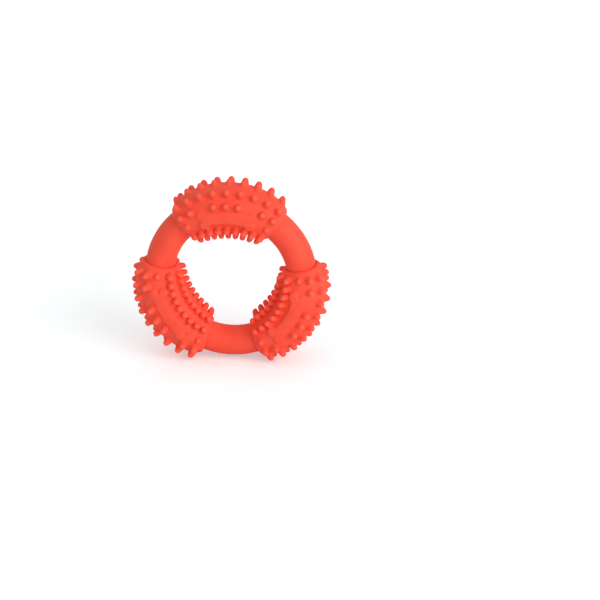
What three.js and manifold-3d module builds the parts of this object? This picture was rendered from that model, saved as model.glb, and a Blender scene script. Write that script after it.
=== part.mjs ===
// Spiked dog chew ring: a smooth round rubber ring with three spiked grip sleeves moulded round it.
// Millimetres, +Z up. The ring stands on its two lower sleeves, its axis runs along Y, its front faces -Y,
// and the origin lies on the floor, under the middle of the ring.

import * as THREE from "three";
import { mergeVertices } from "three/addons/utils/BufferGeometryUtils.js";
import Module from "manifold-3d";

const wasm = await Module();
wasm.setup();

// Core ring
const RING_RADIUS = 43;
const TUBE_RADIUS = 9;

// Grip sleeves, spaced evenly round the ring, the first one at the top. A sleeve's wall lies over its
// bore, thick on the outside, thinner towards the hole and thin at the collar.
const SLEEVE_NAMES = ["grip_sleeve_top", "grip_sleeve_right", "grip_sleeve_left"];
const BORE_CLEARANCE = 0.3;
const OUTER_WALL = 6.5;
const INNER_WALL = 4.4;
const COLLAR_WALL = 0.6;
const COLLAR_END_ANGLE = 1.75;
const BARREL_POWER = 2.2;

// Places for spikes along a sleeve, by their angle round the ring
const SPIKE_STEP_ANGLE = 8.5;
const SPIKES_EACH_SIDE = 4;

// Fat spikes on both shoulders, shorter along the outermost line and beside the pads, and slimmer pins
// towards the hole
const SPIKE = { height: 4.3, baseRadius: 2.8, tipRadius: 1.5, sides: 6 };
const OUTER_SPIKE = { ...SPIKE, height: 3 };
const LOWER_SPIKE = { ...SPIKE, height: 4.5 };
const PAD_END_SPIKE = { ...SPIKE, height: 2.4 };
const PIN = { height: 4.2, baseRadius: 2.3, tipRadius: 1.45, sides: 5 };
const SIDE_PIN = { ...PIN, height: 4.5 };
const SPIKE_ROOT = 1;

// The strips that a sleeve's section is made of, from its outermost line to the hole, by their edges in
// degrees. Each row of spikes stands in the middle of its strip, with some places left free for the pad.
const OUTER_STRIP_HALF_ANGLE = 13;
const OUTER_STRIP = { from: -OUTER_STRIP_HALF_ANGLE, to: OUTER_STRIP_HALF_ANGLE };
const SHOULDER_STRIP = { from: 25, to: 51 };
const LOWER_STRIP = { from: SHOULDER_STRIP.to, to: 79 };
const PAD_STRIP = { from: LOWER_STRIP.to, to: 104 };
const SIDE_PIN_STRIP = { from: PAD_STRIP.to, to: 134 };
const HOLE_PIN_STRIP = { from: 139, to: 165 };
const BOTH_FACES = [1, -1];
const ROWS = [
  { strip: OUTER_STRIP, faces: [1], size: OUTER_SPIKE, free: [] },
  { strip: SHOULDER_STRIP, faces: BOTH_FACES, size: SPIKE, free: [] },
  { strip: LOWER_STRIP, faces: BOTH_FACES, size: LOWER_SPIKE, free: [2] },
  { strip: PAD_STRIP, faces: BOTH_FACES, size: PAD_END_SPIKE, free: [0, 1, 2, 3] },
  { strip: SIDE_PIN_STRIP, faces: BOTH_FACES, size: SIDE_PIN, free: [] },
  { strip: HOLE_PIN_STRIP, faces: BOTH_FACES, size: PIN, free: [] },
];

// Bone-shaped pad on each face of a sleeve, standing proud of it
const PAD_RELIEF = 1.3;
const PAD_SHANK_HALF_WIDTH = 4;
const PAD_LOBE_RADIUS = 3;
const PAD_LOBE_OFFSET = 3.2;
const PAD_LOBE_ANGLE = 19.6;

// Flats worn on the tips that the ring stands on
const FOOT_FLAT_DEPTH = 0.5;

// Facets
const TUBE_SIDES = 18;
const RING_SEGMENTS = 48;
const PAD_ARC_SEGMENTS = 8;
const LOBE_SIDES = 12;

// Corners closer than this are one corner
const WELD_DISTANCE = 1e-4;

const RUBBER = { color: 0xff5541, roughness: 0.55, metalness: 0 };

const radians = THREE.MathUtils.degToRad;

const BORE_RADIUS = TUBE_RADIUS + BORE_CLEARANCE;
const SLEEVE_HALF_ANGLE = (SPIKES_EACH_SIDE + 0.5) * SPIKE_STEP_ANGLE + COLLAR_END_ANGLE;

// An angle round the ring, from an angle in degrees off a sleeve's middle.
function angleOffMiddle(degrees) {
  return Math.PI / 2 - radians(degrees);
}

// A point by its angle round the ring, its angle round the tube (0 outward, 90 to the front)
// and its distance from the tube's centre line.
function pointAt(ringAngle, sectionAngle, distance) {
  const reach = RING_RADIUS + distance * Math.cos(sectionAngle);
  return new THREE.Vector3(
    reach * Math.cos(ringAngle),
    -distance * Math.sin(sectionAngle),
    reach * Math.sin(ringAngle),
  );
}

// The sleeve's full radius at its middle, thinner towards the hole.
function bulgeRadius(sectionAngle) {
  const inward = (1 - Math.cos(sectionAngle)) / 2;
  return BORE_RADIUS + OUTER_WALL - (OUTER_WALL - INNER_WALL) * inward ** 2;
}

// The sleeve's radius at a share of its half length, 0 at the middle and 1 at the collar.
function barrelRadius(share, sectionAngle) {
  const lipRadius = BORE_RADIUS + COLLAR_WALL;
  const rise = Math.max(0, 1 - Math.abs(share) ** BARREL_POWER) ** (1 / BARREL_POWER);
  return lipRadius + (bulgeRadius(sectionAngle) - lipRadius) * rise;
}

// One welded surface without empty triangles.
function welded(geometry) {
  const bare = geometry.clone();
  bare.deleteAttribute("normal");
  bare.deleteAttribute("uv");
  const merged = mergeVertices(bare, WELD_DISTANCE);
  const kept = [];
  const corners = merged.index.array;
  for (let i = 0; i < corners.length; i += 3) {
    const [a, b, c] = corners.slice(i, i + 3);
    if (a !== b && b !== c && c !== a) {
      kept.push(a, b, c);
    }
  }
  merged.setIndex(kept);
  return merged;
}

function toSolid(geometry) {
  const surface = welded(geometry);
  return new wasm.Manifold(new wasm.Mesh({
    numProp: 3,
    vertProperties: surface.attributes.position.array,
    triVerts: new Uint32Array(surface.index.array),
  }));
}

function toGeometry(solid) {
  const mesh = solid.getMesh();
  const geometry = new THREE.BufferGeometry();
  geometry.setAttribute("position", new THREE.BufferAttribute(new Float32Array(mesh.vertProperties), 3));
  geometry.setIndex(new THREE.BufferAttribute(new Uint32Array(mesh.triVerts), 1));
  geometry.computeVertexNormals();
  return geometry;
}

// A torus lies in the XY plane, so it turns to stand with its axis along Y.
function ringTube(tubeRadius) {
  return new THREE.TorusGeometry(RING_RADIUS, tubeRadius, TUBE_SIDES, RING_SEGMENTS).rotateX(Math.PI / 2);
}

// The corners of a sleeve's section, in degrees from its outermost line, all the way round.
function sectionCorners() {
  const edges = new Set(ROWS.flatMap(({ strip }) => [Math.abs(strip.from), strip.to]));
  const front = [...edges].sort((a, b) => a - b);
  const back = front.map((edge) => 360 - edge).reverse();
  return [...front, ...back];
}

// The sleeve's solid body, closed at both collars, before its bore is cut. Each spike's place is one
// flat cell of it, and the last cells at both ends round down to the collar's lip.
function barrelBody() {
  const corners = sectionCorners();
  const sides = corners.length;
  const points = [];
  const faces = [];
  const shares = [-1];
  for (let edge = -SPIKES_EACH_SIDE - 0.5; edge <= SPIKES_EACH_SIDE + 0.5; edge += 1) {
    shares.push((edge * SPIKE_STEP_ANGLE) / SLEEVE_HALF_ANGLE);
  }
  shares.push(1);
  for (const share of shares) {
    const ringAngle = angleOffMiddle(share * SLEEVE_HALF_ANGLE);
    for (const corner of corners) {
      const sectionAngle = radians(corner);
      points.push(...pointAt(ringAngle, sectionAngle, barrelRadius(share, sectionAngle)));
    }
  }
  for (let row = 0; row < shares.length - 1; row += 1) {
    for (let side = 0; side < sides; side += 1) {
      const next = (side + 1) % sides;
      const a = row * sides + side;
      const b = row * sides + next;
      const c = (row + 1) * sides + next;
      const d = (row + 1) * sides + side;
      faces.push(a, b, c, a, c, d);
    }
  }
  const firstCentre = points.length / 3;
  points.push(...pointAt(angleOffMiddle(-SLEEVE_HALF_ANGLE), 0, 0));
  points.push(...pointAt(angleOffMiddle(SLEEVE_HALF_ANGLE), 0, 0));
  const lastRow = (shares.length - 1) * sides;
  for (let side = 0; side < sides; side += 1) {
    const next = (side + 1) % sides;
    faces.push(firstCentre, next, side);
    faces.push(firstCentre + 1, lastRow + side, lastRow + next);
  }
  const body = new THREE.BufferGeometry();
  body.setAttribute("position", new THREE.Float32BufferAttribute(points, 3));
  body.setIndex(faces);
  return body;
}

// A round cone with a blunt tip, its root sunk into the sleeve, pointing along +Y.
function spikeShape({ height, baseRadius, tipRadius, sides }) {
  const profile = [
    new THREE.Vector2(0, -SPIKE_ROOT),
    new THREE.Vector2(baseRadius, -SPIKE_ROOT),
    new THREE.Vector2(tipRadius, height),
    new THREE.Vector2(0, height),
  ];
  return new THREE.LatheGeometry(profile, sides);
}

// A spike stands on the sleeve's surface and points away from the tube's centre line.
function placedSpike(shape, offsetAngle, sectionAngle) {
  const share = offsetAngle / SLEEVE_HALF_ANGLE;
  const ringAngle = angleOffMiddle(offsetAngle);
  const foot = pointAt(ringAngle, sectionAngle, barrelRadius(share, sectionAngle));
  const centre = pointAt(ringAngle, sectionAngle, 0);
  const outward = foot.clone().sub(centre).normalize();
  const turn = new THREE.Quaternion().setFromUnitVectors(new THREE.Vector3(0, 1, 0), outward);
  const placement = new THREE.Matrix4().compose(foot, turn, new THREE.Vector3(1, 1, 1));
  return shape.clone().applyMatrix4(placement);
}

function allSpikes() {
  const spikes = [];
  for (const { strip, faces, size, free } of ROWS) {
    const shape = spikeShape(size);
    for (const face of faces) {
      const sectionAngle = radians((face * (strip.from + strip.to)) / 2);
      for (let place = -SPIKES_EACH_SIDE; place <= SPIKES_EACH_SIDE; place += 1) {
        if (!free.includes(Math.abs(place))) {
          spikes.push(placedSpike(shape, place * SPIKE_STEP_ANGLE, sectionAngle));
        }
      }
    }
  }
  return spikes;
}

// The bone-shaped pad: a curved shank between two pairs of round lobes, flat on its face. Its root lies
// halfway down the sleeve's wall.
function bonePad(face) {
  const sideRadius = bulgeRadius(Math.PI / 2);
  const faceHeight = sideRadius + PAD_RELIEF;
  const rootHeight = (BORE_RADIUS + sideRadius) / 2;
  const depth = faceHeight - rootHeight;
  const lobeAngle = radians(PAD_LOBE_ANGLE);
  const bandStart = Math.PI / 2 - lobeAngle;
  const bandEnd = Math.PI / 2 + lobeAngle;
  const band = new THREE.Shape();
  band.absarc(0, 0, RING_RADIUS + PAD_SHANK_HALF_WIDTH, bandStart, bandEnd, false);
  band.absarc(0, 0, RING_RADIUS - PAD_SHANK_HALF_WIDTH, bandEnd, bandStart, true);
  const settings = { depth, bevelEnabled: false, curveSegments: PAD_ARC_SEGMENTS };
  const pieces = [new THREE.ExtrudeGeometry(band, settings).rotateX(Math.PI / 2)];
  for (const end of [1, -1]) {
    for (const side of [1, -1]) {
      const reach = RING_RADIUS + side * PAD_LOBE_OFFSET;
      const lobe = new THREE.CylinderGeometry(PAD_LOBE_RADIUS, PAD_LOBE_RADIUS, depth, LOBE_SIDES);
      lobe.translate(reach * Math.sin(end * lobeAngle), -depth / 2, reach * Math.cos(end * lobeAngle));
      pieces.push(lobe);
    }
  }
  const level = face > 0 ? -rootHeight : faceHeight;
  return pieces.map((piece) => toSolid(piece.translate(0, level, 0)));
}

function sleeveSolid() {
  let solid = toSolid(barrelBody());
  for (const spike of allSpikes()) {
    solid = solid.add(toSolid(spike));
  }
  for (const pad of BOTH_FACES.flatMap(bonePad)) {
    solid = solid.add(pad);
  }
  return solid.subtract(toSolid(ringTube(BORE_RADIUS)));
}

// The lowest corner of a surface after it turns with its sleeve about the ring's axis.
function lowestPoint(geometry, turn) {
  const turned = geometry.clone().rotateY(turn);
  turned.computeBoundingBox();
  return turned.boundingBox.min.z;
}

const sleeve = sleeveSolid();
const sleeveSurface = toGeometry(sleeve);
const turnStep = (2 * Math.PI) / SLEEVE_NAMES.length;
const grips = SLEEVE_NAMES.map((name, index) => ({ name, turn: index * turnStep }));
const floorLevel = FOOT_FLAT_DEPTH + Math.min(...grips.map(({ turn }) => lowestPoint(sleeveSurface, turn)));

// The floor's block, seen from a sleeve before it turns into place.
function floorBlock(turn) {
  const reach = 2 * (RING_RADIUS + BORE_RADIUS + OUTER_WALL + SPIKE.height);
  const block = new THREE.BoxGeometry(2 * reach, 2 * reach, reach);
  block.translate(0, 0, floorLevel - reach / 2);
  return block.rotateY(-turn);
}

function rubberPiece(name, geometry) {
  const piece = new THREE.Mesh(geometry, new THREE.MeshStandardMaterial(RUBBER));
  piece.name = name;
  return piece;
}

const toy = new THREE.Group();
const standing = new THREE.Group();
standing.position.z = -floorLevel;
toy.add(standing);
standing.add(rubberPiece("core_ring", ringTube(TUBE_RADIUS)));

for (const { name, turn } of grips) {
  const grip = rubberPiece(name, toGeometry(sleeve.subtract(toSolid(floorBlock(turn)))));
  grip.rotation.y = turn;
  standing.add(grip);
}

export default toy;
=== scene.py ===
"""Looks of a spiked dog ring toy: a smooth rubber ring through three spiked grip sleeves.

The toy stands upright on the spikes of its two lower sleeves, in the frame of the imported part:
its axis runs along Y, its front faces -Y, +Z is up and the floor is at zero. The toy's sizes
are in millimetres here and turn into metres where a mesh is made.
"""

import logging
import math
from dataclasses import dataclass, field, replace
from enum import Enum

import bpy
import numpy as np
from mathutils import Matrix, Vector


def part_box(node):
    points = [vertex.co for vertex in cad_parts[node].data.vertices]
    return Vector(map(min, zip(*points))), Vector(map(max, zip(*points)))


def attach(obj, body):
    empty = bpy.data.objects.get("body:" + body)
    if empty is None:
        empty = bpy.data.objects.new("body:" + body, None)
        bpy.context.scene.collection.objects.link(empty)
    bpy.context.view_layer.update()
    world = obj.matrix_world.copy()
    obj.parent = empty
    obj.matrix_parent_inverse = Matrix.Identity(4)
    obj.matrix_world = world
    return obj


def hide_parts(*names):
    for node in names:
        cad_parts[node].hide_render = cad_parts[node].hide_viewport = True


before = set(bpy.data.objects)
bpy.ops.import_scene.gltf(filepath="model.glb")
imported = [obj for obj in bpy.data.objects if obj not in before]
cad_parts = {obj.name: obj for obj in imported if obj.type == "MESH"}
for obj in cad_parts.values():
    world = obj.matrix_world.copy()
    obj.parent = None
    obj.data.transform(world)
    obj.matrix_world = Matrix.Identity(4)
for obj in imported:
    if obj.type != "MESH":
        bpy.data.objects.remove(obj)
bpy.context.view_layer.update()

LOG = logging.getLogger("ring_toy")
MM = 0.001
WELD_DISTANCE = 1e-4
WHITE = (1.0, 1.0, 1.0, 1.0)
NONE_TO_ALL = (0.0, 1.0)
TIP_MARK = "tip"

Color = tuple[float, float, float, float]
Faces = list[tuple[int, ...]]
Span = tuple[float, float]
Source = float | tuple[float, ...] | bpy.types.NodeSocket


class Turn(Enum):
    """Each sleeve's turn round the ring from the top, in degrees clockwise from the front."""

    TOP = 0.0
    RIGHT = 120.0
    LEFT = 240.0


@dataclass(frozen=True)
class RingLine:
    """The ring's centre line, round which every place on the toy is given."""

    radius: float = 43.0

    def points(
        self, off_middle: np.ndarray, section: np.ndarray, distance: np.ndarray
    ) -> np.ndarray:
        """Places round the centre line, for a sleeve whose middle is at the top.

        Args:
            off_middle: Angles round the ring from the sleeve's middle, clockwise from the front.
            section: Angles round the tube, 0 outward and a quarter turn at the front.
            distance: Distances from the centre line.

        Returns:
            One row of x, y, z for each place, about the ring's middle.
        """
        reach = self.radius + distance * np.cos(section)
        depth = -distance * np.sin(section)
        return np.stack([reach * np.sin(off_middle), depth, reach * np.cos(off_middle)], axis=-1)


class MeshParts:
    """Corners and faces gathered patch by patch, welded where patches share an edge."""

    def __init__(self) -> None:
        """Starts with no patches."""
        self.corners: list[np.ndarray] = []
        self.faces: Faces = []
        self.marks: list[np.ndarray] = []
        self.count = 0

    def add(self, corners: np.ndarray, faces: Faces, marks: np.ndarray | None = None) -> None:
        """Adds one patch.

        Args:
            corners: Rows of x, y, z.
            faces: Corner numbers of each face, counted within this patch.
            marks: One value per corner, from 0 at a spike's foot to 1 at its tip. All are 0
                where none are given.
        """
        self.corners.append(corners)
        self.marks.append(np.zeros(len(corners)) if marks is None else marks)
        self.faces.extend(tuple(number + self.count for number in face) for face in faces)
        self.count += len(corners)

    def welded(self) -> tuple[np.ndarray, Faces, np.ndarray]:
        """Joins corners that lie in one place.

        Returns:
            The corners, the faces and the marks, with no corner twice.
        """
        corners = np.concatenate(self.corners)
        marks = np.concatenate(self.marks)
        keys = np.round(corners / WELD_DISTANCE).astype(np.int64)
        _, first, place = np.unique(keys, axis=0, return_index=True, return_inverse=True)
        place = place.reshape(-1)
        faces = []
        for face in self.faces:
            ring = [int(place[number]) for number in face]
            slim = [number for index, number in enumerate(ring) if number != ring[index - 1]]
            if len(slim) >= 3:
                faces.append(tuple(slim))
        return corners[first], faces, marks[first]


def grid_faces(rows: int, columns: int) -> Faces:
    """Four-sided faces of a grid.

    Args:
        rows: Number of corner rows.
        columns: Number of corners in a row.

    Returns:
        Corner numbers of each face.
    """
    faces = []
    for row in range(rows - 1):
        for column in range(columns - 1):
            start = row * columns + column
            faces.append((start, start + 1, start + columns + 1, start + columns))
    return faces


def add_sheet(
    parts: MeshParts,
    line: RingLine,
    turns: np.ndarray,
    sections: np.ndarray,
    radii: np.ndarray,
    flipped: bool = False,
) -> None:
    """Adds a sheet of skin that runs round the tube and along the ring.

    Args:
        parts: The mesh so far.
        line: The ring's centre line.
        turns: Angles round the ring of the sheet's rows of corners.
        sections: Angles round the tube of the corners in a row.
        radii: Distances from the centre line, one for all corners or one for each.
        flipped: Whether the faces look towards the centre line when the turns go up.
    """
    along, around = np.meshgrid(turns, sections, indexing="ij")
    distances = np.broadcast_to(radii, along.shape)
    faces = grid_faces(len(turns), len(sections))
    if flipped:
        faces = [face[::-1] for face in faces]
    parts.add(line.points(along, around, distances).reshape(-1, 3), faces)


def smooth_step(values: np.ndarray) -> np.ndarray:
    """A soft ramp from 0 to 1 as the values go from 0 to 1.

    Args:
        values: The values, of which those outside the range count as its ends.

    Returns:
        The ramp's height at each value.
    """
    share = np.clip(values, 0.0, 1.0)
    return share * share * (3.0 - 2.0 * share)


@dataclass(frozen=True)
class SpikeForm:
    """A blunt rubber spike: a round tip, a straight flank and a fillet at its foot."""

    height: float
    flank_radius: float
    tip_radius: float
    fillet_radius: float
    tip_rings: int = 5
    flank_rings: int = 2
    fillet_rings: int = 4

    def profile(self, room: float) -> tuple[np.ndarray, np.ndarray]:
        """The spike's rings from just under the tip to the outer edge of its foot.

        Args:
            room: The widest radius that the foot may have.

        Returns:
            The radius and the height of each ring.
        """
        rise = self.height - self.tip_radius
        slant = math.hypot(self.flank_radius, rise)
        lean = math.acos(self.tip_radius / slant) - math.atan2(rise, self.flank_radius)
        spread = (1.0 - math.sin(lean)) / math.cos(lean)
        fillet = min(self.fillet_radius, (room - self.flank_radius) / spread)
        foot = self.flank_radius + fillet * spread

        tip = np.linspace(0.0, math.pi / 2 - lean, self.tip_rings + 1)[1:]
        radii = [self.tip_radius * np.sin(tip)]
        heights = [rise + self.tip_radius * np.cos(tip)]

        low = np.linspace(math.pi / 2 - lean, 0.0, self.fillet_rings + 1)
        fillet_radii = foot - fillet * np.sin(low)
        fillet_heights = fillet - fillet * np.cos(low)
        share = np.linspace(0.0, 1.0, self.flank_rings + 2)[1:-1]
        radii.append(radii[0][-1] + (fillet_radii[0] - radii[0][-1]) * share)
        heights.append(heights[0][-1] + (fillet_heights[0] - heights[0][-1]) * share)
        radii.append(fillet_radii)
        heights.append(fillet_heights)
        return np.concatenate(radii), np.concatenate(heights)


@dataclass(frozen=True)
class BonePad:
    """The bone-shaped pad on each face of a sleeve, pushed out along Y with a soft edge.

    Lengths are in millimetres, and the lobes' angle from the sleeve's middle is in degrees.
    """

    relief: float = 1.2
    crown: float = 0.4
    crown_reach: float = 1.5
    shank_half_width: float = 4.0
    lobe_radius: float = 3.0
    lobe_offset: float = 3.2
    lobe_angle: float = 19.6
    edge_width: float = 1.5
    corner_softness: float = 1.0

    def cover(self, line: RingLine, off_middle: np.ndarray, reach: np.ndarray) -> np.ndarray:
        """How much of the pad covers each place, from 0 outside it to 1 on its face.

        Args:
            line: The ring's centre line.
            off_middle: Angles round the ring from the sleeve's middle.
            reach: Distances from the ring's axis.

        Returns:
            The cover at each place.
        """
        lobe_turn = math.radians(self.lobe_angle)
        past_end = (np.abs(off_middle) - lobe_turn) * line.radius
        gap = np.maximum(np.abs(reach - line.radius) - self.shank_half_width, past_end)
        across = reach * np.sin(np.abs(off_middle))
        along = reach * np.cos(off_middle)
        for side in (-1.0, 1.0):
            lobe_reach = line.radius + side * self.lobe_offset
            off_across = across - lobe_reach * math.sin(lobe_turn)
            off_along = along - lobe_reach * math.cos(lobe_turn)
            lobe_gap = np.hypot(off_across, off_along) - self.lobe_radius
            blend = np.clip(0.5 + 0.5 * (gap - lobe_gap) / self.corner_softness, 0.0, 1.0)
            gap = gap + (lobe_gap - gap) * blend - self.corner_softness * blend * (1.0 - blend)
        return smooth_step(0.5 - gap / self.edge_width)

    def thickness(self, line: RingLine, reach: np.ndarray) -> np.ndarray:
        """How far the pad stands proud of the sleeve's side, most along its middle.

        Args:
            line: The ring's centre line.
            reach: Distances from the ring's axis.

        Returns:
            The thickness at each place.
        """
        across = (reach - line.radius) / self.shank_half_width
        return self.relief - self.crown * np.clip(across, -self.crown_reach, self.crown_reach) ** 2


@dataclass(frozen=True)
class RowForm:
    """One strip of places along a sleeve, between two edges in degrees from its outermost line.

    Free places carry no spike, and are counted from the sleeve's middle to both sides. A strip
    is made on both faces, but only once where it runs over the outermost or innermost line.
    """

    spike: SpikeForm
    edges: Span
    steps: int
    free: tuple[int, ...] = ()
    faces: tuple[int, ...] = (1, -1)

    @property
    def angles(self) -> np.ndarray:
        """The angles round the tube, in radians, of the corners across the strip at the front."""
        low, high = self.edges
        return np.radians(np.linspace(low, high, self.steps + 1))


SPIKE = SpikeForm(height=4.3, flank_radius=2.6, tip_radius=1.9, fillet_radius=0.7)
OUTER_SPIKE = replace(SPIKE, height=3.0, tip_radius=1.6)
LOWER_SPIKE = replace(SPIKE, height=4.5)
PAD_END_SPIKE = replace(SPIKE, height=2.4)
PIN = SpikeForm(height=4.2, flank_radius=2.1, tip_radius=1.7, fillet_radius=0.3, fillet_rings=3)
SIDE_PIN = replace(PIN, height=4.8, flank_radius=2.15, tip_radius=1.95)


@dataclass
class GripSleeve:
    """A barrel-shaped sleeve round the ring, with its spikes, collars and bone-shaped pads.

    Lengths are in millimetres and the angles among the fields are in degrees.
    """

    node: str
    turn: Turn
    line: RingLine
    bore_radius: float = 9.05
    outer_wall: float = 6.75
    inner_wall: float = 4.65
    collar_wall: float = 0.85
    collar_end_angle: float = 1.75
    barrel_power: float = 2.2
    mouth_depth: float = 0.6
    step_angle: float = 8.5
    each_side: int = 4
    pad: BonePad = field(default_factory=BonePad)
    rows: tuple[RowForm, ...] = (
        RowForm(OUTER_SPIKE, (-25, 25), 16, faces=(1,)),
        RowForm(SPIKE, (25, 51), 10),
        RowForm(LOWER_SPIKE, (51, 79), 14, free=(2,)),
        RowForm(PAD_END_SPIKE, (79, 104), 20, free=(0, 1, 2, 3)),
        RowForm(SIDE_PIN, (104, 139), 14),
        RowForm(PIN, (139, 165), 10),
        RowForm(PIN, (165, 195), 7, free=(0, 1, 2, 3, 4), faces=(1,)),
    )
    place_steps: tuple[int, ...] = (10, 10, 16, 14, 8)
    fan_steps: int = 4
    shoulder_steps: int = 9
    mouth_steps: int = 4
    bore_steps: int = 24
    foot_room: float = 0.94

    @property
    def half_angle(self) -> float:
        """Half of the sleeve's length round the ring, in radians."""
        return math.radians((self.each_side + 0.5) * self.step_angle + self.collar_end_angle)

    def bulge(self, section: np.ndarray) -> np.ndarray:
        """The barrel's full radius at the sleeve's middle, thinner towards the hole.

        Args:
            section: Angles round the tube.

        Returns:
            The radius at each angle.
        """
        inward = (1.0 - np.cos(section)) / 2.0
        return self.bore_radius + self.outer_wall - (self.outer_wall - self.inner_wall) * inward**2

    def barrel(self, rise: np.ndarray, section: np.ndarray) -> np.ndarray:
        """The barrel's radius between its collar and its full bulge.

        Args:
            rise: The share of its wall over the collar that it has risen by.
            section: Angles round the tube.

        Returns:
            The radius at each place.
        """
        lip = self.bore_radius + self.collar_wall
        return lip + (self.bulge(section) - lip) * rise

    def rise_at(self, off_middle: np.ndarray) -> np.ndarray:
        """The share of its wall over the collar that the barrel has risen by.

        Args:
            off_middle: Angles round the ring from the sleeve's middle.

        Returns:
            The share at each angle, 1 in the middle and 0 at the collar.
        """
        share = np.clip(np.abs(off_middle) / self.half_angle, 0.0, 1.0)
        return (1.0 - share**self.barrel_power) ** (1.0 / self.barrel_power)

    def skin(
        self, off_middle: np.ndarray, section: np.ndarray, growth: np.ndarray | float = 0.0
    ) -> np.ndarray:
        """Places on the sleeve's surface, pads included.

        Args:
            off_middle: Angles round the ring from the sleeve's middle.
            section: Angles round the tube.
            growth: How far a spike pushes each place out, as rows of x, y, z.

        Returns:
            One row of x, y, z for each place.
        """
        rise = self.rise_at(off_middle)
        radius = self.barrel(rise, section)
        places = self.line.points(off_middle, section, radius) + growth
        reach = self.line.radius + radius * np.cos(section)
        cover = self.pad.cover(self.line, off_middle, reach)
        side = np.full_like(section, math.pi / 2)
        face = self.barrel(rise, side) + self.pad.thickness(self.line, reach)
        depth = np.abs(places[..., 1])
        raised = depth + cover * np.maximum(face - depth, 0.0)
        places[..., 1] = np.sign(places[..., 1]) * raised
        return places

    def add_cell(self, parts: MeshParts, place: int, form: RowForm, face: int) -> None:
        """Adds one spike's place, or the bare skin of a free one.

        Args:
            parts: The sleeve's mesh so far.
            place: The place along its row, 0 in the middle.
            form: The row's form.
            face: 1 for the front and -1 for the back.
        """
        step = math.radians(self.step_angle)
        left = (place - 0.5) * step
        right = (place + 0.5) * step
        columns = np.linspace(left, right, self.place_steps[abs(place)] + 1)
        rows = np.sort(face * form.angles)
        if abs(place) in form.free:
            along, round_tube = np.meshgrid(columns, rows, indexing="ij")
            corners = self.skin(along.ravel(), round_tube.ravel())
            parts.add(corners, grid_faces(len(columns), len(rows)))
            return
        self.add_spike(parts, columns, rows, form.spike)

    def add_spike(
        self, parts: MeshParts, columns: np.ndarray, rows: np.ndarray, form: SpikeForm
    ) -> None:
        """Adds one spike and the skin round it, out to the edges of its place.

        Args:
            parts: The sleeve's mesh so far.
            columns: Angles round the ring of the corners along the place's edges.
            rows: Angles round the tube of the corners along the place's other edges.
            form: The spike's form.
        """
        middle = np.array((columns[0] + columns[-1]) / 2.0)
        section = np.array((rows[0] + rows[-1]) / 2.0)
        # The place's edges, once round it from the corner where both angles are lowest.
        edge_along = np.concatenate(
            [
                columns[:-1],
                np.full(len(rows) - 1, columns[-1]),
                columns[:0:-1],
                np.full(len(rows) - 1, columns[0]),
            ]
        )
        edge_round = np.concatenate(
            [
                np.full(len(columns) - 1, rows[0]),
                rows[:-1],
                np.full(len(columns) - 1, rows[-1]),
                rows[:0:-1],
            ]
        )
        radius = float(self.barrel(self.rise_at(middle), section))
        reach = self.line.radius + radius * math.cos(section)
        spokes = np.arctan2((edge_round - section) * radius, (edge_along - middle) * reach)
        width = min((columns[-1] - columns[0]) * reach, (rows[-1] - rows[0]) * radius)
        ring_radii, ring_heights = form.profile(self.foot_room * width / 2.0)

        across = np.outer(ring_radii, np.sin(spokes))
        round_tube = section + across / radius
        local_reach = self.line.radius + radius * np.cos(round_tube)
        along = middle + np.outer(ring_radii, np.cos(spokes)) / local_reach
        shares = np.linspace(0.0, 1.0, self.fan_steps + 1)[1:]
        fan_along = along[-1] + np.outer(shares, edge_along - along[-1])
        fan_round = round_tube[-1] + np.outer(shares, edge_round - round_tube[-1])
        all_along = np.concatenate([[middle], along.ravel(), fan_along.ravel()])
        all_round = np.concatenate([[section], round_tube.ravel(), fan_round.ravel()])

        count = len(spokes)
        heights = np.concatenate(
            [[form.height], np.repeat(ring_heights, count), np.zeros(self.fan_steps * count)]
        )
        foot = self.line.points(middle, section, np.array(radius))
        centre = self.line.points(middle, section, np.array(0.0))
        outward = (foot - centre) / np.linalg.norm(foot - centre)
        corners = self.skin(all_along, all_round, heights[:, None] * outward)
        faces = self.fan_faces(len(ring_radii) + self.fan_steps, count)
        parts.add(corners, faces, heights / form.height)

    @staticmethod
    def fan_faces(rings: int, count: int) -> Faces:
        """Faces from a middle corner out through rings of corners.

        Args:
            rings: Number of rings.
            count: Number of corners in a ring.

        Returns:
            Corner numbers of each face, the middle corner first.
        """
        faces = []
        for spoke in range(count):
            after = (spoke + 1) % count
            faces.append((0, 1 + after, 1 + spoke))
            for ring in range(rings - 1):
                inner = 1 + ring * count
                outer = inner + count
                faces.append((inner + spoke, inner + after, outer + after, outer + spoke))
        return faces

    def section_angles(self) -> np.ndarray:
        """The angles round the tube of the strips' corners, once round."""
        outer, *others, innermost = (form.angles for form in self.rows)
        front = np.concatenate([angles[1:] for angles in others])
        return np.concatenate([-front[::-1], outer, front, innermost[1:]])

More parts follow.
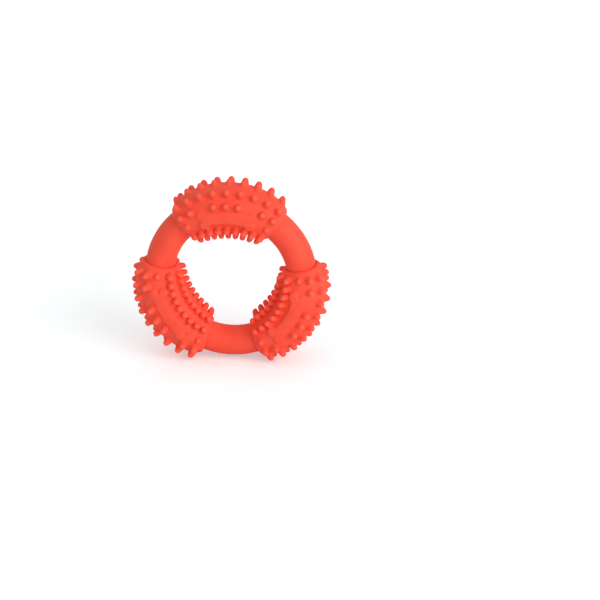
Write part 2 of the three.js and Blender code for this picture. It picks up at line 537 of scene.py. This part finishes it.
    def add_ends(self, parts: MeshParts) -> None:
        """Adds both shoulders, both collar lips and the bore between them.

        Args:
            parts: The sleeve's mesh so far.
        """
        sections = self.section_angles()
        first = (self.each_side + 0.5) * math.radians(self.step_angle)
        rises = np.linspace(float(self.rise_at(np.array(first))), 0.0, self.shoulder_steps + 1)
        shoulder = self.half_angle * (1.0 - rises**self.barrel_power) ** (1.0 / self.barrel_power)
        shoulder[0] = first
        outer_lip = self.bore_radius + self.collar_wall
        mouth = np.linspace(0.0, math.pi / 2, self.mouth_steps + 1)[1:]
        mouth_turns = self.half_angle - self.mouth_depth * (1.0 - np.cos(mouth)) / self.line.radius
        mouth_radii = outer_lip - self.collar_wall * np.sin(mouth)
        turns = np.concatenate([shoulder, mouth_turns])
        radii = np.concatenate(
            [
                self.barrel(rises[:, None], sections),
                np.repeat(mouth_radii[:, None], len(sections), axis=1),
            ]
        )
        add_sheet(parts, self.line, turns, sections, radii)
        add_sheet(parts, self.line, -turns, sections, radii, flipped=True)
        bore_turns = np.linspace(-mouth_turns[-1], mouth_turns[-1], self.bore_steps + 1)
        bore = np.array(self.bore_radius)
        add_sheet(parts, self.line, bore_turns, sections, bore, flipped=True)

    def build(self, centre_height: float) -> bpy.types.Object:
        """Builds the sleeve's mesh in its place on the ring.

        Args:
            centre_height: The height of the ring's middle over the floor.

        Returns:
            The sleeve.
        """
        parts = MeshParts()
        for form in self.rows:
            for face in form.faces:
                for place in range(-self.each_side, self.each_side + 1):
                    self.add_cell(parts, place, form, face)
        self.add_ends(parts)
        corners, faces, marks = parts.welded()
        angle = math.radians(self.turn.value)
        x = corners[:, 0] * math.cos(angle) + corners[:, 2] * math.sin(angle)
        z = corners[:, 2] * math.cos(angle) - corners[:, 0] * math.sin(angle)
        # The tips that carry the toy are flat where they would reach below the floor.
        standing = np.stack([x, corners[:, 1], np.maximum(z + centre_height, 0.0)], axis=-1)
        return mesh_piece(f"sleeve_{self.turn.name.lower()}", standing, faces, marks)


@dataclass
class CoreRing:
    """The smooth ring that runs through all three sleeves."""

    line: RingLine
    node: str = "core_ring"
    tube_radius: float = 9.0
    ring_steps: int = 288
    tube_steps: int = 64

    def build(self, centre_height: float) -> bpy.types.Object:
        """Builds the ring's mesh.

        Args:
            centre_height: The height of the ring's middle over the floor.

        Returns:
            The ring.
        """
        turns = np.linspace(0.0, 2.0 * math.pi, self.ring_steps + 1)
        sections = np.linspace(0.0, 2.0 * math.pi, self.tube_steps + 1)
        parts = MeshParts()
        add_sheet(parts, self.line, turns, sections, np.array(self.tube_radius))
        corners, faces, marks = parts.welded()
        corners[:, 2] += centre_height
        return mesh_piece("smooth_ring", corners, faces, marks)


def mesh_piece(
    name: str, corners: np.ndarray, faces: Faces, marks: np.ndarray
) -> bpy.types.Object:
    """Makes a smooth-shaded object from corners in millimetres.

    Args:
        name: The object's name.
        corners: Rows of x, y, z.
        faces: Corner numbers of each face.
        marks: One value per corner, kept as an attribute for the painted highlight on the spike
            tips.

    Returns:
        The object, linked to the scene.
    """
    mesh = bpy.data.meshes.new(name)
    mesh.from_pydata((corners * MM).tolist(), [], faces)
    mesh.shade_smooth()
    tip = mesh.attributes.new(TIP_MARK, "FLOAT", "POINT")
    tip.data.foreach_set("value", marks.astype(np.float32))
    mesh.update()
    LOG.info("%s: %d corners, %d faces", name, len(corners), len(faces))
    return linked_object(name, mesh)


def linked_object(name: str, data: bpy.types.ID) -> bpy.types.Object:
    """Makes an object and links it to the scene.

    Args:
        name: The object's name.
        data: Its mesh, light or camera.

    Returns:
        The object.
    """
    item = bpy.data.objects.new(name, data)
    bpy.context.collection.objects.link(item)
    return item


class ShaderTree:
    """The shader nodes of a material or of the world."""

    def __init__(self, owner: bpy.types.Material | bpy.types.World) -> None:
        """Starts from the nodes that Blender gives the owner.

        Args:
            owner: The material or the world.
        """
        owner.use_nodes = True
        self.nodes = owner.node_tree.nodes
        self.links = owner.node_tree.links

    def feed(self, node: bpy.types.Node, inputs: dict[str, Source]) -> None:
        """Sets a node's inputs, or links them to the outputs of other nodes.

        Args:
            node: The node.
            inputs: The value or the output for each input's name.
        """
        for name, source in inputs.items():
            if isinstance(source, bpy.types.NodeSocket):
                self.links.new(source, node.inputs[name])
            else:
                node.inputs[name].default_value = source

    def add(
        self, kind: str, output: str, inputs: dict[str, Source] | None = None
    ) -> bpy.types.NodeSocket:
        """Adds a node.

        Args:
            kind: The node's type.
            output: The name of its output that is used.
            inputs: The value or the output of another node for each input's name.

        Returns:
            The output.
        """
        node = self.nodes.new(kind)
        self.feed(node, inputs or {})
        return node.outputs[output]

    def mix(self, share: Source, low: Source, high: Source) -> bpy.types.NodeSocket:
        """Mixes two colours.

        Args:
            share: The share of the second colour.
            low: The first colour.
            high: The second colour.

        Returns:
            The mixed colour.
        """
        node = self.nodes.new("ShaderNodeMix")
        node.data_type = "RGBA"
        self.feed(node, {"Factor": share, "A": low, "B": high})
        return node.outputs["Result"]

    def ramp(self, value: Source, start: Span, end: Span) -> bpy.types.NodeSocket:
        """Turns one span of values into another, straight and cut off at its ends.

        Args:
            value: The value.
            start: The span that it comes from.
            end: The span that it is turned into.

        Returns:
            The turned value.
        """
        spans = {"From Min": start[0], "From Max": start[1], "To Min": end[0], "To Max": end[1]}
        return self.add("ShaderNodeMapRange", "Result", {"Value": value, **spans})

    def camera_level(self, others: float, camera: float) -> bpy.types.NodeSocket:
        """Makes a level that is one value for the camera's own rays and another for the rest.

        Args:
            others: The level for all other rays.
            camera: The level for the camera's own rays.

        Returns:
            The level.
        """
        seen = self.add("ShaderNodeLightPath", "Is Camera Ray")
        return self.ramp(seen, NONE_TO_ALL, (others, camera))


@dataclass(frozen=True)
class Noise:
    """A noise over an object's own coordinates, with its scale per metre and its finer layers."""

    scale: float
    detail: float


@dataclass(frozen=True)
class RubberFinish:
    """Matte moulded rubber with a fine eroded texture, slightly uneven pigment and spike tips
    painted lighter as a highlight.

    The depths of the textures and the reach of light below the surface are in metres.
    """

    name: str
    slot: str
    deep: Color = (0.90, 0.075, 0.039, 1.0)
    light: Color = (0.97, 0.096, 0.051, 1.0)
    # The colour of the painted highlight that lightens the spike tips where light catches them.
    tip_highlight: Color = (0.98, 0.145, 0.088, 1.0)
    cloud: Noise = Noise(scale=70.0, detail=3.0)
    cloud_span: Span = (0.3, 0.7)
    # Where the painted highlight starts up each spike, and how much of its colour reaches the tip.
    highlight_start: float = 0.55
    highlight_share: float = 0.5
    roughness: Span = (0.5, 0.62)
    specular: float = 0.22
    scatter_weight: float = 0.08
    scatter_reach: tuple[float, float, float] = (0.0016, 0.0005, 0.0003)
    scatter_scale: float = 1.0
    grain: Noise = Noise(scale=2600.0, detail=2.0)
    grain_depth: float = 0.00003
    ripple: Noise = Noise(scale=500.0, detail=3.0)
    ripple_depth: float = 0.00006

    def build(self) -> bpy.types.Material:
        """Makes the material.

        Returns:
            The rubber's material.
        """
        material = bpy.data.materials.new(self.name)
        tree = ShaderTree(material)
        place = tree.add("ShaderNodeTexCoord", "Object")
        cloud, grain, ripple = (
            tree.add(
                "ShaderNodeTexNoise",
                "Fac",
                {"Vector": place, "Scale": noise.scale, "Detail": noise.detail},
            )
            for noise in (self.cloud, self.grain, self.ripple)
        )
        pigment = tree.mix(tree.ramp(cloud, self.cloud_span, NONE_TO_ALL), self.deep, self.light)

        # Painted highlight: each spike is painted paler towards its tip, standing in for light
        # catching it.
        tip = tree.nodes.new("ShaderNodeAttribute")
        tip.attribute_name = TIP_MARK
        painted_highlight = tree.ramp(tip.outputs["Fac"], (self.highlight_start, 1.0), (0.0, self.highlight_share))

        rippled = tree.add(
            "ShaderNodeBump", "Normal", {"Height": ripple, "Distance": self.ripple_depth}
        )
        grained = tree.add(
            "ShaderNodeBump",
            "Normal",
            {"Height": grain, "Distance": self.grain_depth, "Normal": rippled},
        )
        tree.feed(
            tree.nodes["Principled BSDF"],
            {
                "Base Color": tree.mix(painted_highlight, pigment, self.tip_highlight),
                "Roughness": tree.ramp(ripple, NONE_TO_ALL, self.roughness),
                "Specular IOR Level": self.specular,
                "Subsurface Weight": self.scatter_weight,
                "Subsurface Radius": self.scatter_reach,
                "Subsurface Scale": self.scatter_scale,
                "Normal": grained,
            },
        )
        return material


@dataclass
class Studio:
    """A white floor, soft light and the camera at the photograph's viewing angle.

    Places and sizes are in metres, angles in degrees, and the lens and its sensor in
    millimetres. The camera's place and aim are given from the ring's middle.
    """

    middle_height: float
    camera_place: tuple[float, float, float] = (0.2283, -1.6351, 0.7258)
    camera_aim: tuple[float, float, float] = (0.0415, 0.0, -0.0152)
    camera_roll: float = -0.752
    lens: float = 180.0
    sensor_width: float = 36.0
    view_end: float = 50.0
    floor_size: float = 12.0
    floor_color: Color = (0.85, 0.90, 0.91, 1.0)
    floor_roughness: float = 0.6
    floor_specular: float = 0.1
    floor_lift: float = 0.3
    key_direction: tuple[float, float, float] = (1.0, -0.75, 0.5)
    key_strength: float = 1.78
    key_spread: float = 50.0
    world_strength: float = 0.68

    def build(self) -> None:
        """Makes the floor, the lights, the world and the camera."""
        self.add_floor()
        self.add_world()
        key = bpy.data.lights.new("key", "SUN")
        key.energy = self.key_strength
        key.angle = math.radians(self.key_spread)
        lamp = linked_object("key", key)
        lamp.rotation_euler = Vector(self.key_direction).to_track_quat("Z", "Y").to_euler()
        self.add_camera()

    def add_floor(self) -> None:
        """Makes the floor, which the camera sees a little lighter than it is lit."""
        half = self.floor_size / 2.0
        corners = [(-half, -half, 0.0), (half, -half, 0.0), (half, half, 0.0), (-half, half, 0.0)]
        mesh = bpy.data.meshes.new("floor")
        mesh.from_pydata(corners, [], [(0, 1, 2, 3)])
        floor = linked_object("floor", mesh)
        material = bpy.data.materials.new("white_floor")
        tree = ShaderTree(material)
        tree.feed(
            tree.nodes["Principled BSDF"],
            {
                "Base Color": self.floor_color,
                "Roughness": self.floor_roughness,
                "Specular IOR Level": self.floor_specular,
                "Emission Color": WHITE,
                "Emission Strength": tree.camera_level(0.0, self.floor_lift),
            },
        )
        mesh.materials.append(material)

    def add_world(self) -> None:
        """Makes an even white surrounding that looks plain white to the camera."""
        world = bpy.data.worlds.new("studio")
        bpy.context.scene.world = world
        tree = ShaderTree(world)
        strength = tree.camera_level(self.world_strength, 1.0)
        tree.feed(tree.nodes["Background"], {"Color": WHITE, "Strength": strength})

    def add_camera(self) -> None:
        """Makes the camera, aimed at a point on the ring's plane and rolled a little."""
        data = bpy.data.cameras.new("camera")
        data.lens = self.lens
        data.sensor_width = self.sensor_width
        data.clip_end = self.view_end
        camera = linked_object("camera", data)
        place = Vector(self.camera_place)
        look = (Vector(self.camera_aim) - place).to_track_quat("-Z", "Y").to_matrix().to_4x4()
        roll = Matrix.Rotation(math.radians(self.camera_roll), 4, "Z")
        middle = Vector((0.0, 0.0, self.middle_height))
        camera.matrix_world = Matrix.Translation(middle + place) @ look @ roll
        bpy.context.scene.camera = camera


def dress(piece: bpy.types.Object, node: str, material: bpy.types.Material) -> None:
    """Gives a piece its material and its place in the frame.

    Args:
        piece: The piece.
        node: The part's node that it stands for.
        material: The piece's material.
    """
    piece.data.materials.append(material)
    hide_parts(node)
    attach(piece, "root")


def main() -> None:
    """Builds the toy and the studio round it."""
    logging.basicConfig(level=logging.INFO, format="%(message)s")
    bpy.context.scene.view_settings.view_transform = "Standard"
    low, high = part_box("core_ring")
    centre_height = (low[2] + high[2]) / 2.0 / MM
    line = RingLine()
    ring_rubber = RubberFinish("smooth_rubber", "ring_rubber")
    sleeve_rubber = RubberFinish("textured_rubber", "sleeve_rubber")
    ring = CoreRing(line)
    dress(ring.build(centre_height), ring.node, ring_rubber.build())
    sleeve_material = sleeve_rubber.build()
    for turn in Turn:
        sleeve = GripSleeve(f"grip_sleeve_{turn.name.lower()}", turn, line)
        dress(sleeve.build(centre_height), sleeve.node, sleeve_material)
    Studio(centre_height * MM).build()


if __name__ == "__main__":
    main()
